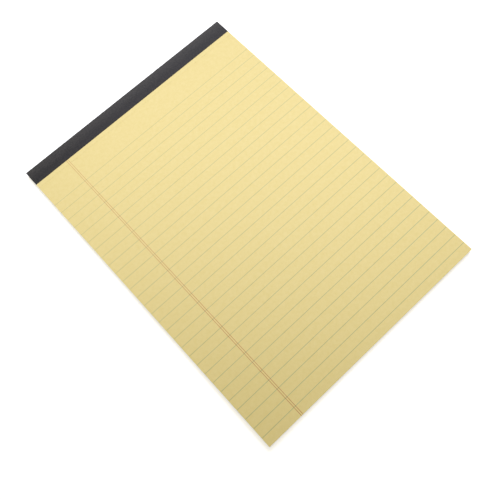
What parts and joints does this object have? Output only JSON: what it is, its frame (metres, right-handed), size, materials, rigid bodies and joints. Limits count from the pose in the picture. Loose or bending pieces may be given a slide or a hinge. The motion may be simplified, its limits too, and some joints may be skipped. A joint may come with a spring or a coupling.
{
  "type": "legal pad",
  "caption": "Tall writing pad of yellow ruled sheets on a stiff backing board, wire-stitched near the head, perforated below a black binding tape folded over the head.",
  "frame": {"origin": "centre of the pad's underside", "axes": "+X to the reader's right along the head, +Y towards the bound head, +Z out of the written face"},
  "size_m": [0.216, 0.2986, 0.0061],
  "materials": {
    "sheets": "uncoated canary yellow writing paper, printed with thin blue rules and a double red margin line",
    "board": "uncoated grey-brown chipboard with short fibre flecks",
    "tape": "black coated binding paper with a fine grain and a dull sheen",
    "staple_wire": "bright zinc-coated stitching wire"
  },
  "bodies": {
    "root": {"ruled_sheets": "sheets", "backing_board": "board", "binding_tape": "tape", "staples": "staple_wire"}
  },
  "joints": []
}
